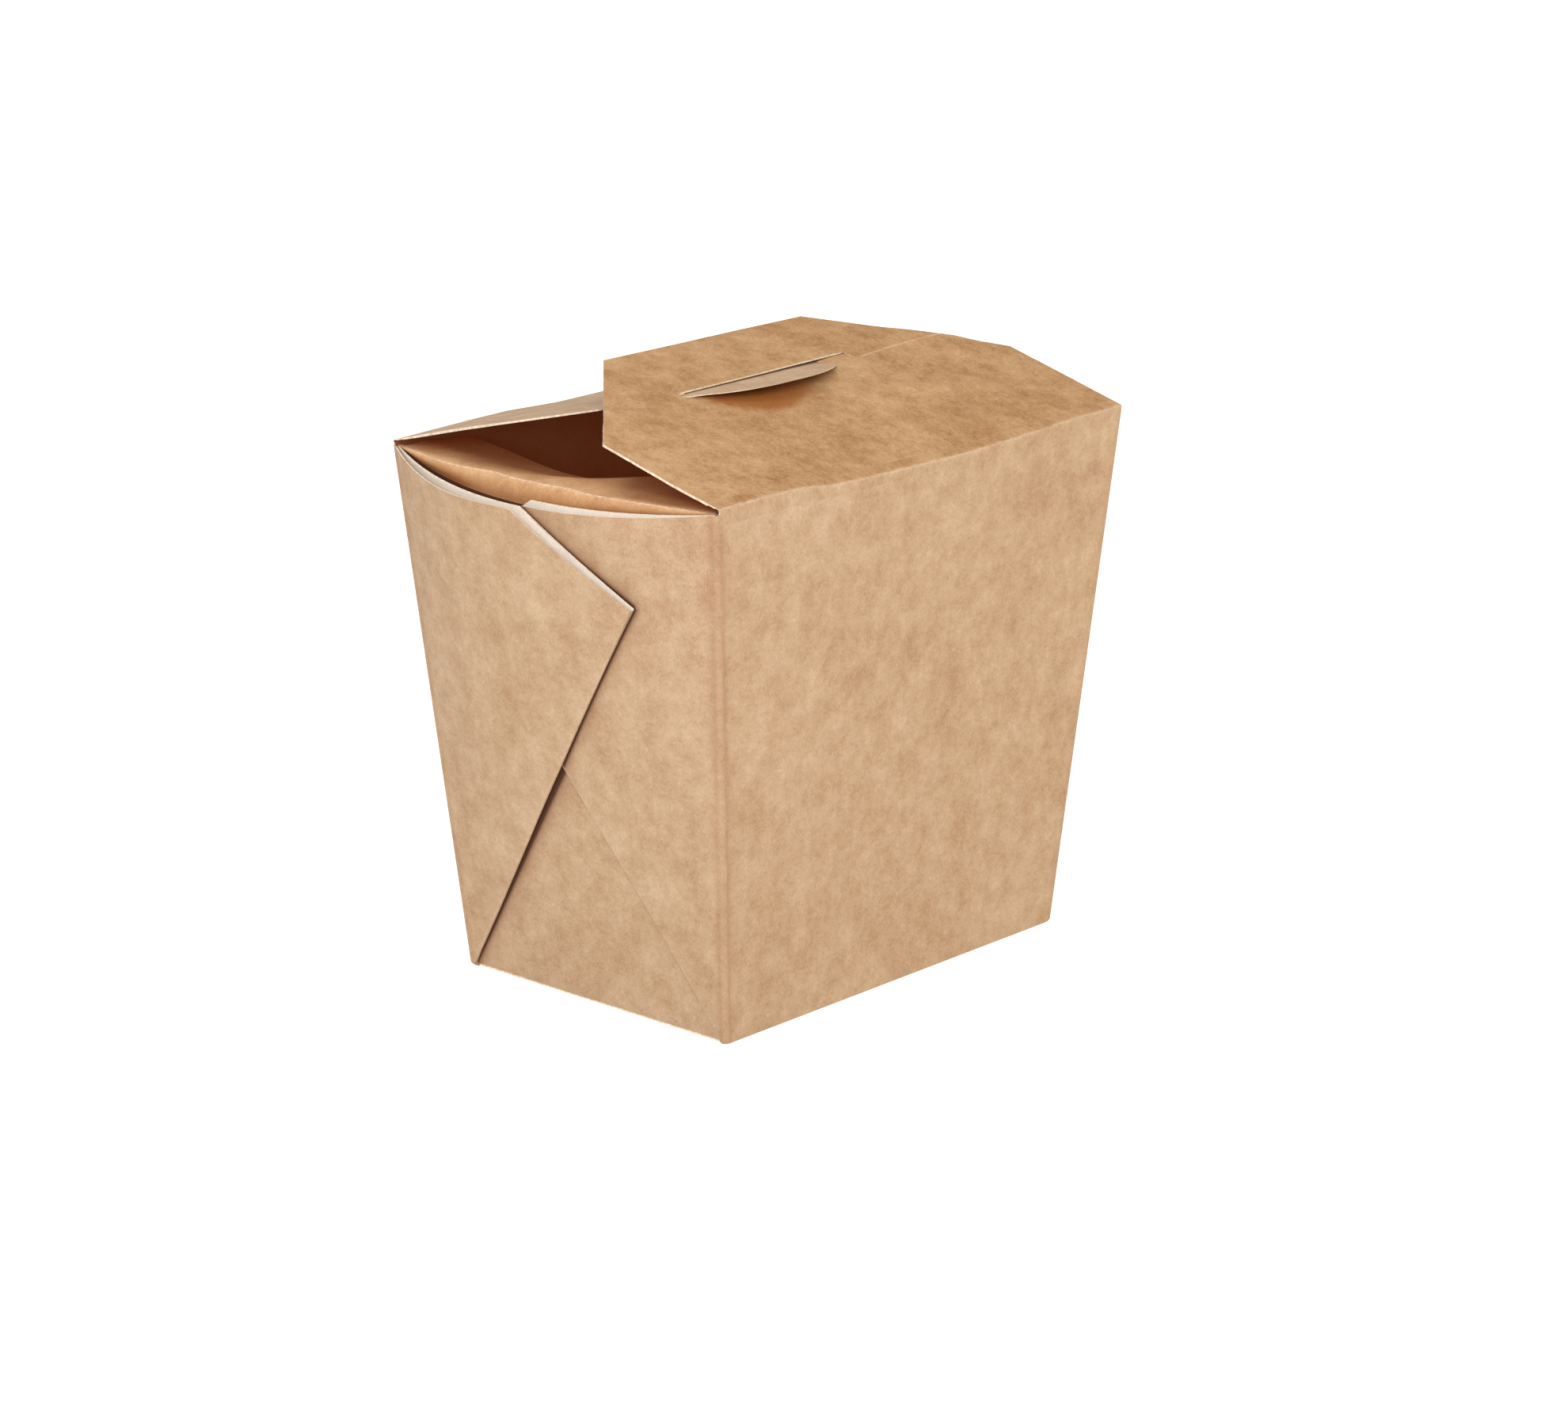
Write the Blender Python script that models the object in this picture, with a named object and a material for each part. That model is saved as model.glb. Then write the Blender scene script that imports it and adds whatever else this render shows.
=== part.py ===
"""Kraft board noodle box with folded end gussets and a lid whose tongue locks through a slot.

Units are metres, +Z is up. The origin is the middle of the base, on the surface the box stands on.
The long walls face -Y (front) and +Y (back), and the gussets are folded flat on the -X and +X ends.
The box is one piece of board, parted here only where it folds: tub, front lid panel, back lid panel.
"""

import math

import bmesh
import bpy
import numpy as np
from mathutils import Matrix

# Driving sizes of the box
BOARD = 0.0005
TOP_LENGTH, TOP_WIDTH = 0.1123, 0.08086
BASE_LENGTH, BASE_WIDTH = 0.0925, 0.0661
LID_HEIGHT = 0.102
RIM_HEIGHT = LID_HEIGHT - 0.0009

# End walls: the top edge bows outward and dips, because the end flap is folded in along an arc
END_BOW = 0.0075
END_DIP = 0.0038
END_COLUMNS = 16
WALL_ROWS = 6

# Gussets: two layers of board folded over the end wall, the back one over the front one
FOLD_ANGLE = math.radians(35.8)
GUSSET_TIP_REACH = 0.0585
GUSSET_TOP_END = 0.0
GUSSET_PLIES = 0.0015
GUSSET_RAISE = 0.0012
PLY_SLIT = 0.0005
SLIT_DEPTH = 0.006
GUSSET_BITE = 0.0002
GUSSET_ROWS = 5
GUSSET_START, TIP_BLUNT = 0.992, 0.985
FRONT_PROUD, BACK_PROUD = 0.0035, 0.0018
SLIT_SHARE = 0.4
RAISE_WIDTH = 0.55
CORNER_SHARE, CORNER_WIDTH = 0.25, 0.005
PINCH_SHARE, PINCH_HEIGHT = 0.4, 0.020

# End flaps: up from the arc to a soft ridge, then into the box
RIDGE_HEIGHT = 0.1012
RIDGE_BOW = 0.0032
RIDGE_INSET = 0.0012
FLAP_END_X = 0.040
FLAP_END_HEIGHT = 0.1004
FLAP_SAG = 0.0030
FLAP_SAG_Y = 0.006
FLAP_SAG_REACH = 0.030
FLAP_SPAN = 0.955
FLAP_CROWN = 0.0003
FLAP_ROOT = 0.0002

# Front lid panel, measured along the board from its fold at the front rim
HINGE_GAP = 0.00035
LID_HALF = TOP_LENGTH / 2 - 0.0002
FRONT_SLOPE, FRONT_SLOPE_END = math.radians(15.24), math.radians(11.9)
FRONT_SCORE = 0.0371
FRONT_STRAIGHT, FRONT_REACH = 0.0284, 0.0571
FRONT_END_HALF = 0.0270
FRONT_TAPER_MIDDLE = 0.0490
SLOT_LEFT, SLOT_RIGHT = -0.0240, 0.0226
SLOT_NEAR, SLOT_FAR = 0.0362, 0.0406
SLOT_NEAR_UNDER, SLOT_FAR_UNDER = 0.0367, 0.0418

# Back lid panel: it bends over to the tongue, a half moon that stands up through the slot
BACK_BEND = ((0.0, 17.0), (0.030, 12.5), (0.043, 10.5), (0.060, 6.0))
BACK_STRAIGHT, BACK_SHOULDER = 0.0380, 0.0410
BACK_SHOULDER_HALF = LID_HALF - (BACK_SHOULDER - BACK_STRAIGHT)
TONGUE_REACH, TONGUE_RADIUS = 0.0595, 0.0245
TONGUE_CENTRE_X, TONGUE_HALF = -0.0007, 0.0226
TONGUE_TIP_HALF = 0.004
BACK_ROWS, TONGUE_ROWS = 6, 9

KRAFT = (0.56, 0.36, 0.20)
KRAFT_ROUGHNESS = 0.85


def clear_scene():
    for obj in list(bpy.data.objects):
        bpy.data.objects.remove(obj)


def kraft_material(name):
    material = bpy.data.materials.new(name)
    material.use_nodes = True
    shader = material.node_tree.nodes["Principled BSDF"]
    shader.inputs["Base Color"].default_value = (*KRAFT, 1.0)
    shader.inputs["Roughness"].default_value = KRAFT_ROUGHNESS
    shader.inputs["Metallic"].default_value = 0.0
    return material


def make_object(name, points, faces, material):
    """A mesh object from world points, with its normals turned outward."""
    mesh = bpy.data.meshes.new(name)
    mesh.from_pydata([tuple(p) for p in points], [], faces)
    shape = bmesh.new()
    shape.from_mesh(mesh)
    bmesh.ops.triangulate(shape, faces=[f for f in shape.faces if len(f.verts) > 3])
    bmesh.ops.recalc_face_normals(shape, faces=shape.faces)
    shape.to_mesh(mesh)
    shape.free()
    mesh.materials.append(material)
    obj = bpy.data.objects.new(name, mesh)
    bpy.context.scene.collection.objects.link(obj)
    return obj


def side_faces(rings, count):
    """Faces of the skin over rings of count points each, stored one ring after another."""
    faces = []
    for i in range(rings - 1):
        for j in range(count):
            k = (j + 1) % count
            faces.append((i * count + j, i * count + k, (i + 1) * count + k, (i + 1) * count + j))
    return faces


def skin(name, sections, material):
    """A closed object over closed sections of equal counts, with a flat cap on each end."""
    count = len(sections[0])
    faces = side_faces(len(sections), count)
    faces.append(tuple(range(count)))
    faces.append(tuple((len(sections) - 1) * count + j for j in range(count)))
    return make_object(name, [p for section in sections for p in section], faces, material)


# Walls


def half_length(h, t, inset=0.0):
    """Distance of the end wall from the middle, at height share h and width share t."""
    straight = BASE_LENGTH / 2 + h * (TOP_LENGTH - BASE_LENGTH) / 2
    return straight + END_BOW * h * (1 - t * t) - inset


def half_width(h, inset=0.0):
    return BASE_WIDTH / 2 + h * (TOP_WIDTH - BASE_WIDTH) / 2 - inset


def rim_height(t):
    return RIM_HEIGHT - END_DIP * (1 - t * t)


def end_point(side, t, h, out=0.0):
    """A point on the end wall's outer face, moved outward by out."""
    y = t * half_width(h)
    lean = (TOP_LENGTH - BASE_LENGTH) / 2 / RIM_HEIGHT + END_BOW * (1 - t * t) / RIM_HEIGHT
    turn = 2 * END_BOW * h * t / half_width(h)
    size = math.sqrt(1 + lean * lean + turn * turn)
    x = half_length(h, t) + out / size
    return side * x, y + out * turn / size, h * rim_height(t) - out * lean / size


def wall_ring(h, inset=0.0, z=None):
    """Points once round the four walls at height share h: along the -X end, then the +X end."""
    ring = []
    for side, direction in ((-1, -1), (1, 1)):
        for i in range(END_COLUMNS + 1):
            t = direction * (2 * i / END_COLUMNS - 1)
            height = h * rim_height(t) if z is None else z
            ring.append((side * half_length(h, t, inset), t * half_width(h, inset), height))
    return ring


def walls(material):
    """Base and four walls as one thin shell, open at the top."""
    floor = BOARD / RIM_HEIGHT
    shares = [floor + (1 - floor) * i / WALL_ROWS for i in range(WALL_ROWS + 1)]
    rings = [wall_ring(0.0)] + [wall_ring(h) for h in shares]
    rings += [wall_ring(h, BOARD) for h in reversed(shares[1:])] + [wall_ring(floor, BOARD, BOARD)]
    count = len(rings[0])
    faces = side_faces(len(rings), count)
    last = (len(rings) - 1) * count
    for j in range(END_COLUMNS):
        quad = (j, j + 1, count - 2 - j, count - 1 - j)
        faces.append(quad)
        faces.append(tuple(last + n for n in quad))
    return make_object("tub", [p for ring in rings for p in ring], faces, material)


# Gussets


def fold_share(t):
    """Height share of the gusset's fold at width share t, for the gusset at the t = 1 corner."""
    climb = math.tan(FOLD_ANGLE)
    spread = (TOP_WIDTH - BASE_WIDTH) / 2 / RIM_HEIGHT
    return BASE_WIDTH / 2 * (1 - t) / (climb + t * spread) / RIM_HEIGHT


def gusset_tip():
    """Width share and height share of the gusset's tip."""
    share = GUSSET_TIP_REACH / math.tan(FOLD_ANGLE) / RIM_HEIGHT
    return (BASE_WIDTH / 2 - GUSSET_TIP_REACH) / half_width(share), share


def gusset_top(t, proud):
    """Height share of the gusset's free edge: just over the rim, then a straight cut down to the tip."""
    tip_t, tip_h = gusset_tip()
    end_t = GUSSET_TOP_END / half_width(1.0)
    if t >= end_t:
        return 1.0 + proud
    return tip_h + (1.0 + proud - tip_h) * (t - tip_t) / (end_t - tip_t)


def gusset(name, side, corner, raised, proud, material):
    """One gusset on an end wall, from the given corner (1 back, -1 front), with the slit between its plies."""
    tip_t, _ = gusset_tip()
    sections = []
    for i in range(END_COLUMNS + 1):
        t = GUSSET_START + (tip_t - GUSSET_START) * min(i / END_COLUMNS, TIP_BLUNT)
        low, high = fold_share(t), gusset_top(t, proud)
        near = min(1.0, CORNER_SHARE + (1 - t) * half_width(1.0) / CORNER_WIDTH)
        over = raised * min(1.0, (1 - t) / RAISE_WIDTH)
        deep = high - min(SLIT_DEPTH / RIM_HEIGHT, SLIT_SHARE * (high - low))
        profile = [(low, -GUSSET_BITE)]
        for j in range(GUSSET_ROWS + 1):
            h = low + (high - low) * j / GUSSET_ROWS
            pinch = min(1.0, PINCH_SHARE + h * RIM_HEIGHT / PINCH_HEIGHT)
            profile.append((h, (GUSSET_PLIES * near + over) * pinch))
        slit_out = GUSSET_PLIES * near + over - BOARD * near
        slit_in = slit_out - PLY_SLIT * near
        profile += [(high, slit_out), (deep, slit_out), (deep, slit_in), (high, slit_in)]
        for j in range(GUSSET_ROWS):
            profile.append((high + (low - high) * j / GUSSET_ROWS, -GUSSET_BITE))
        sections.append([end_point(side, corner * t, h, out) for h, out in profile])
    return skin(name, sections, material)


# End flaps


def flap_line(side, t):
    """Points across an end flap at width share t: arc, ridge and free edge."""
    y = t * half_width(1.0)
    arc = half_length(1.0, t)
    ridge = min(arc - RIDGE_INSET, TOP_LENGTH / 2 + RIDGE_BOW * (1 - t**4))
    sag = max(0.0, 1 - abs(y - FLAP_SAG_Y) / FLAP_SAG_REACH)
    sag = sag * sag * (3 - 2 * sag)
    end_height = FLAP_END_HEIGHT - FLAP_SAG * sag
    middle = (ridge + FLAP_END_X) / 2
    middle_height = (RIDGE_HEIGHT + end_height) / 2 + FLAP_CROWN
    return (
        (side * (arc - BOARD / 2), y, rim_height(t) - FLAP_ROOT),
        (side * ridge, y, RIDGE_HEIGHT),
        (side * middle, y, middle_height),
        (side * FLAP_END_X, y, end_height),
    )


def end_flap(name, side, material):
    sections = []
    for i in range(END_COLUMNS + 1):
        t = FLAP_SPAN * (2 * i / END_COLUMNS - 1)
        upper = flap_line(side, t)
        lower = [(x, y, z - BOARD) for x, y, z in reversed(upper)]
        sections.append([*upper, *lower])
    return skin(name, sections, material)


def tub(material):
    """Base, walls, gussets and end flaps, joined into the one piece that they are."""
    body = walls(material)
    extras = bpy.data.collections.new("tub_extras")
    bpy.context.scene.collection.children.link(extras)
    pieces = []
    for side, end in ((-1, "left"), (1, "right")):
        pieces.append(gusset(f"gusset_front_{end}", side, -1, 0.0, FRONT_PROUD, material))
        pieces.append(gusset(f"gusset_back_{end}", side, 1, GUSSET_RAISE, BACK_PROUD, material))
        pieces.append(end_flap(f"end_flap_{end}", side, material))
    for piece in pieces:
        bpy.context.scene.collection.objects.unlink(piece)
        extras.objects.link(piece)
    union = body.modifiers.new("join", "BOOLEAN")
    union.operation = "UNION"
    union.solver = "EXACT"
    union.operand_type = "COLLECTION"
    union.collection = extras
    bpy.context.view_layer.update()
    joined = bpy.data.meshes.new_from_object(body.evaluated_get(bpy.context.evaluated_depsgraph_get()))
    body.modifiers.clear()
    body.data = joined
    for piece in pieces:
        bpy.data.objects.remove(piece)
    bpy.data.collections.remove(extras)
    return body


# Lid panels


def front_line(v, deep=0.0):
    """Place of a front panel point that lies v along the board, from the fold."""
    near, far = min(v, FRONT_SCORE), max(v - FRONT_SCORE, 0.0)
    slope = FRONT_SLOPE if v <= FRONT_SCORE else FRONT_SLOPE_END
    run = near * math.cos(FRONT_SLOPE) + far * math.cos(FRONT_SLOPE_END)
    rise = near * math.sin(FRONT_SLOPE) + far * math.sin(FRONT_SLOPE_END)
    return run + deep * math.sin(slope), rise - deep * math.cos(slope)


def back_line(v, deep=0.0):
    """Place of a back panel point that lies v along the bent board, from the fold."""
    steps = np.linspace(0.0, v, 61)
    slopes = np.radians(np.interp(steps, *zip(*BACK_BEND)))
    width = v / 60
    run = float(np.sum(np.cos((slopes[1:] + slopes[:-1]) / 2)) * width)
    rise = float(np.sum(np.sin((slopes[1:] + slopes[:-1]) / 2)) * width)
    return run + deep * math.sin(slopes[-1]), rise - deep * math.cos(slopes[-1])


def front_half(v):
    taper = max(0.0, v - FRONT_STRAIGHT) / (FRONT_REACH - FRONT_STRAIGHT)
    return LID_HALF + (FRONT_END_HALF - LID_HALF) * taper


def panel(name, rows, hinge_y, inward, line, material):
    """A sheet from rows of (v above, v below, xs, cells): cells says which spans to the next row hold board."""
    shape = bmesh.new()
    tops, lows = [], []
    for v_top, v_low, xs, _ in rows:
        for depth, v, store in ((0.0, v_top, tops), (BOARD, v_low, lows)):
            run, rise = line(v, depth)
            store.append([shape.verts.new((x, hinge_y + inward * run, LID_HEIGHT + rise)) for x in xs])
    filled = set()
    for i, row in enumerate(rows[:-1]):
        for j in row[3]:
            filled.add((i, j))
    for i, j in sorted(filled):
        shape.faces.new((tops[i][j], tops[i][j + 1], tops[i + 1][j + 1], tops[i + 1][j]))
        shape.faces.new((lows[i][j], lows[i + 1][j], lows[i + 1][j + 1], lows[i][j + 1]))
        edges = (
            ((i - 1, j), (i, j), (i, j + 1)),
            ((i + 1, j), (i + 1, j + 1), (i + 1, j)),
            ((i, j - 1), (i + 1, j), (i, j)),
            ((i, j + 1), (i, j + 1), (i + 1, j + 1)),
        )
        for other, a, b in edges:
            if other not in filled:
                ring = (tops[a[0]][a[1]], tops[b[0]][b[1]], lows[b[0]][b[1]], lows[a[0]][a[1]])
                shape.faces.new(ring)
    loose = [vertex for vertex in shape.verts if not vertex.link_faces]
    bmesh.ops.delete(shape, geom=loose, context="VERTS")
    bmesh.ops.triangulate(shape, faces=shape.faces[:])
    bmesh.ops.recalc_face_normals(shape, faces=shape.faces[:])
    mesh = bpy.data.meshes.new(name)
    shape.to_mesh(mesh)
    shape.free()
    mesh.materials.append(material)
    mesh.transform(Matrix.Translation((0.0, -hinge_y, -LID_HEIGHT)))
    obj = bpy.data.objects.new(name, mesh)
    obj.location = (0.0, hinge_y, LID_HEIGHT)
    bpy.context.scene.collection.objects.link(obj)
    return obj


def front_lid(material):
    """The front panel, with the window of its slot."""
    everywhere, beside_slot = (0, 1, 2), (0, 2)
    bands = (
        (HINGE_GAP, HINGE_GAP, everywhere),
        (FRONT_STRAIGHT / 2, FRONT_STRAIGHT / 2, everywhere),
        (FRONT_STRAIGHT, FRONT_STRAIGHT, everywhere),
        (SLOT_NEAR, SLOT_NEAR_UNDER, beside_slot),
        (SLOT_FAR, SLOT_FAR_UNDER, everywhere),
        (FRONT_TAPER_MIDDLE, FRONT_TAPER_MIDDLE, everywhere),
        (FRONT_REACH, FRONT_REACH, ()),
    )
    rows = []
    for v_top, v_low, cells in bands:
        half = front_half(v_top)
        rows.append((v_top, v_low, (-half, SLOT_LEFT, SLOT_RIGHT, half), cells))
    return panel("lid_front", rows, -TOP_WIDTH / 2, 1, front_line, material)


def tongue_half(v):
    """Half width of the tongue, a half moon, at v along the board."""
    rise = v - (TONGUE_REACH - TONGUE_RADIUS)
    round_half = math.sqrt(max(0.0, TONGUE_RADIUS**2 - rise * rise))
    return max(min(round_half, TONGUE_HALF), TONGUE_TIP_HALF)


def back_lid(material):
    """The back panel and its tongue."""
    wide, narrow = (0, 1, 2), (1,)
    bands = []
    for i in range(BACK_ROWS + 1):
        bands.append((HINGE_GAP + (BACK_STRAIGHT - HINGE_GAP) * i / BACK_ROWS, LID_HALF, wide))
    bands.append((BACK_SHOULDER, BACK_SHOULDER_HALF, narrow))
    for i in range(1, TONGUE_ROWS + 1):
        v = BACK_SHOULDER + (TONGUE_REACH - BACK_SHOULDER) * math.sin(i / TONGUE_ROWS * math.pi / 2)
        bands.append((v, LID_HALF, narrow if i < TONGUE_ROWS else ()))
    rows = []
    for v, half, cells in bands:
        inner = tongue_half(v) if v >= BACK_SHOULDER else TONGUE_HALF
        left, right = TONGUE_CENTRE_X - inner, TONGUE_CENTRE_X + inner
        rows.append((v, v, (-half, left, right, half), cells))
    return panel("lid_back", rows, TOP_WIDTH / 2, -1, back_line, material)


def main():
    clear_scene()
    tub(kraft_material("kraft_tub"))
    front_lid(kraft_material("kraft_lid_front"))
    back_lid(kraft_material("kraft_lid_back"))


main()
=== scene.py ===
"""Looks of a kraft noodle box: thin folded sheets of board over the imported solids, with camera and light.

Units are metres, +Z is up. Each sheet is a grid of points on the kraft side of the board, which is then
given its thickness. At the ends, t runs across the wall from -1 (front) to 1 (back) and h from the base
to the rim. On the lid panels, v runs along the board from the fold.
"""

import math

import bmesh
import bpy
import numpy as np
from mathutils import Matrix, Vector, noise


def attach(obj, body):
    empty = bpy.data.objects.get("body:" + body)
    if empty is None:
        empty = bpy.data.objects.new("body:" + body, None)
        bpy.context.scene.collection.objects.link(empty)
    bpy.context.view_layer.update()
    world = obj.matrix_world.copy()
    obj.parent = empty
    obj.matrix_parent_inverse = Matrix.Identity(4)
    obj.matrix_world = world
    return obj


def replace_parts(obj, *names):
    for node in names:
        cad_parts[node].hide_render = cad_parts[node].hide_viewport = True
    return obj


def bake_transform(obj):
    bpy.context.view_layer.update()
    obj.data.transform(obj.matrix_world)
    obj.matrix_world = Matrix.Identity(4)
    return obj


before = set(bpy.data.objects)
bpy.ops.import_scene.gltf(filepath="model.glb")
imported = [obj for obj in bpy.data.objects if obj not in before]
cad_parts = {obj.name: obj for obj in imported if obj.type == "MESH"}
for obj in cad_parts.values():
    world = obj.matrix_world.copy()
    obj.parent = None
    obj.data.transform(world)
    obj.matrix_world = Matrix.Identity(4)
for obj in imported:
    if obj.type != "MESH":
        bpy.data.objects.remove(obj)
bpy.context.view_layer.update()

MM = 0.001
BOARD = 0.45 * MM

# Box sizes, the same as the solids'
TOP_LENGTH, TOP_WIDTH = 0.1123, 0.08086
BASE_LENGTH, BASE_WIDTH = 0.0925, 0.0661
LID_HEIGHT = 0.102
RIM_HEIGHT = 0.1011
LID_HALF = TOP_LENGTH / 2 - 0.0002

# Corners, and the row where the lid's crease strips begin
CORNER_RADIUS = 1.1 * MM
CORNER_OUT = 0.35 * MM
FOOT_RADIUS = 0.8 * MM
STRIP_SHARE = 0.981
STRIP_REACH = 2.6 * MM
FOLD_SHARE = 0.995

# Creases of the lid folds: x, then how far they stand above their straight line, in millimetres. The front
# one's third number is how far it bulges outward, in millimetres
CREASE_LINE = (
    (-0.0560, 0.25, 0.0),
    (-0.0450, 0.45, 0.0),
    (-0.0345, 0.30, 0.0),
    (-0.0310, -0.10, 0.1),
    (-0.0270, -0.50, 0.4),
    (-0.0180, -0.75, 0.6),
    (0.0000, -0.90, 0.7),
    (0.0100, -0.95, 0.7),
    (0.0200, -0.72, 0.6),
    (0.0300, -0.52, 0.4),
    (0.0400, -0.12, 0.1),
    (0.0520, 0.05, 0.0),
    (0.0560, 0.0, 0.0),
)
BACK_CREASE = (
    (-0.056, 0.0),
    (-0.046, 0.25),
    (-0.036, 0.50),
    (-0.027, 0.60),
    (-0.014, 0.05),
    (0.0, 0.15),
    (0.02, 0.0),
)
CREASE_FADE = 0.012

# Layers at the ends, as their bow beyond the straight line between the corners at the rim
END_BOW, END_BOW_LEAN = 5.3 * MM, 1.4 * MM
END_SUNK = -0.65 * MM
FRONT_INNER_BOW, FRONT_INNER_DIP = 5.35 * MM, 2.8 * MM
FRONT_OUTER_BOW, FRONT_OUTER_DIP = 6.95 * MM, 3.45 * MM
BACK_INNER_DIP, BACK_OUTER_DIP, BACK_SIDE_DIP = 3.5 * MM, 3.65 * MM, 0.95 * MM
BACK_OUTER_BOW, BACK_OUTER_POWER = 9.5 * MM, 2.5
BACK_LIFT, BACK_LIFT_POWER = 2.72 * MM, 1.16
INNER_SUNK = -0.60 * MM
PLY_PAIR = 0.95 * MM
CREASE_DIP = 4.0 * MM

# Gusset outline: the diagonal fold, and the cut from the middle of the rim down to the tip
FOLD_ANGLE = math.radians(34.1)
TIP_REACH = 56.8 * MM

# Painted shade on the board: beside the back gusset's edges, wide and close, and along the vertical corners
HALO, HALO_REACH = 0.55, 1.7 * MM
HALO_CORE, HALO_CORE_REACH = 1.1, 0.42 * MM
NO_HALO = 1.0
CORNER_SHADE, CORNER_SHADE_REACH, FAINT_CORNER = 0.38, 0.9 * MM, 0.3

# Paler board along the front wall's top, and where the gussets' folds are rubbed
CREASE_PALE, PALE_REACH = 0.30, 2.5 * MM
FOLD_WEAR = 0.12

# End flap
RIDGE_BOW, RIDGE_HEIGHT = 3.3 * MM, 0.1011
FLAP_END_X, FLAP_END_HEIGHT = 0.040, 0.1004
FLAP_SAG = 3.0 * MM
FLAP_SPAN, RIDGE_INSET = 0.955, 0.62 * MM
RIDGE_REACH, FLAP_LENGTH = 0.004, 0.019

# Front lid panel
FRONT_SLOPE, FRONT_SLOPE_END = math.radians(15.24), math.radians(11.9)
FRONT_SCORE = 0.0371
FRONT_STRAIGHT, FRONT_REACH = 0.0284, 0.0571
FRONT_END_HALF = 0.0270
TAPER_FROM = 0.025

# Slot in the front lid panel: its two ends, its lips along the board, the short cut at its right end, and
# the pale score that runs on from it, as x and, in millimetres, v. The mesh's rows lie close there
SLOT_LEFT, SLOT_RIGHT, SLOT_SKEW = -0.0251, 0.0200, 1.1 * MM
SLOT_NEAR, SLOT_NARROW, SLOT_FAR = 0.0373, 0.0382, 0.0386
SLOT_NARROW_FROM = 0.0120
LEG_END, LEG_WIDTH = 0.0361, 0.22 * MM
CLOSE_FROM, CLOSE_TO, CLOSE_STEP = 0.0352, 0.0400, 0.28 * MM
LIP_DROP, LIP_REACH, LIP_PALE = 0.30 * MM, 2.0 * MM, 0.45 * MM
SCORE_LINE = ((0.0212, 36.8), (0.0300, 37.7), (0.0386, 38.4), (0.0480, 38.6))

# Shade under the tongue, and its edge on the front panel: x and v in millimetres
TONGUE_SHADE = 0.90
SHADE_EDGE = (
    (-25.2, 37.1),
    (-22.7, 32.5),
    (-21.0, 30.0),
    (-18.4, 27.5),
    (-13.7, 24.9),
    (-8.9, 24.4),
    (0.2, 26.9),
    (17.0, 36.5),
)

# Back lid panel and tongue: the bend is its slope in degrees at v along the board
BACK_BEND = ((0.0, 16.4), (0.015, 14.9), (0.030, 12.8), (0.038, 9.0), (0.044, 2.1), (0.060, 7.1))
BACK_STRAIGHT, BACK_SHOULDER = FRONT_STRAIGHT, 0.0410
BACK_SHOULDER_HALF = LID_HALF - 1.0087 * (BACK_SHOULDER - BACK_STRAIGHT)
BACK_TWIST, TWIST_FROM, TWIST_SPAN = 0.30 * MM, 2.0 * MM, 0.030
TONGUE_CENTRE_X, TONGUE_MIDDLE = -0.0047, 0.0432
TONGUE_HALF, TONGUE_DEPTH = 0.02007, 0.0099
NECK_LEFT, HOOK_START, HOOK_END, HOOK_REACH = -0.0248, 0.0436, 0.0480, 2.5 * MM
# Painted sheen, laid evenly over the back panel as a paler colour
BACK_SHEEN = 0.08

# Kraft board: its colours, the lid's darker as painted shade and the end flaps' brighter as painted light,
# the spread of its clouds, and what painted shade and the painted dark shadow beside the back gusset leave
# of its colour
WALL_KRAFT = (0.378, 0.240, 0.131)
LID_KRAFT_SHADED = (0.374, 0.211, 0.096)
FLAP_KRAFT_LIT = (0.46, 0.262, 0.112)
KRAFT_CONTRAST = (0.14, 0.21, 0.29)
SHADE_TINT = (0.66, 0.42, 0.27)
LID_TINT = (0.66, 0.32, 0.06)
FLAP_TINT = (0.46, 0.30, 0.16)
GAP_SHADOW_TINT = (0.22, 0.11, 0.06)
FLECK_TINT = (0.35, 0.27, 0.22)

# The board's pale core, where it is worn bare and where it is cut, also laid thinly over the back panel as
# painted sheen, and its two reverse sides, the brown one darkened and reddened as painted shade inside the
# box
WEAR_AND_SHEEN_KRAFT = (0.72, 0.58, 0.42)
CUT_DARK, CUT_LIGHT = (0.50, 0.36, 0.23), (0.78, 0.66, 0.51)
INSIDE_BROWN_AND_SHADE = (0.28, 0.115, 0.047)
LINER_GREY = (0.80, 0.71, 0.60)

# Painted glow for the little light that comes through the board from outside, into the box and onto the end
# flaps
THROUGH_BOARD = (1.0, 0.13, 0.0, 1.0)

# Camera, fitted to the box's corners in the photograph
CAMERA_PLACE = (-0.62239, -0.56610, 0.29292)
CAMERA_TARGET = (-0.003845, -0.00857, 0.050)
CAMERA_LENS, CAMERA_SENSOR = 106.67, 36.0

# Studio: the even light from all round, and the glow that keeps the floor as white as the photograph's
SKY, FLOOR_GLOW = 0.75, 0.80


def smooth(value):
    """Smoothstep of a number or an array, held between 0 and 1."""
    value = np.clip(value, 0.0, 1.0)
    return value * value * (3 - 2 * value)


def graded(count, strength=0.6):
    """count + 1 numbers from 0 to 1, closer together at both ends."""
    even = np.linspace(0.0, 1.0, count + 1)
    return (1 - strength) * even + strength * (1 - np.cos(math.pi * even)) / 2


def wave(a, b, size, seed):
    """Gentle unevenness between about -1 and 1 at the place a, b, in features of the given size."""
    return noise.noise(Vector((a / size, b / size, seed)))


# Sheets


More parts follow.
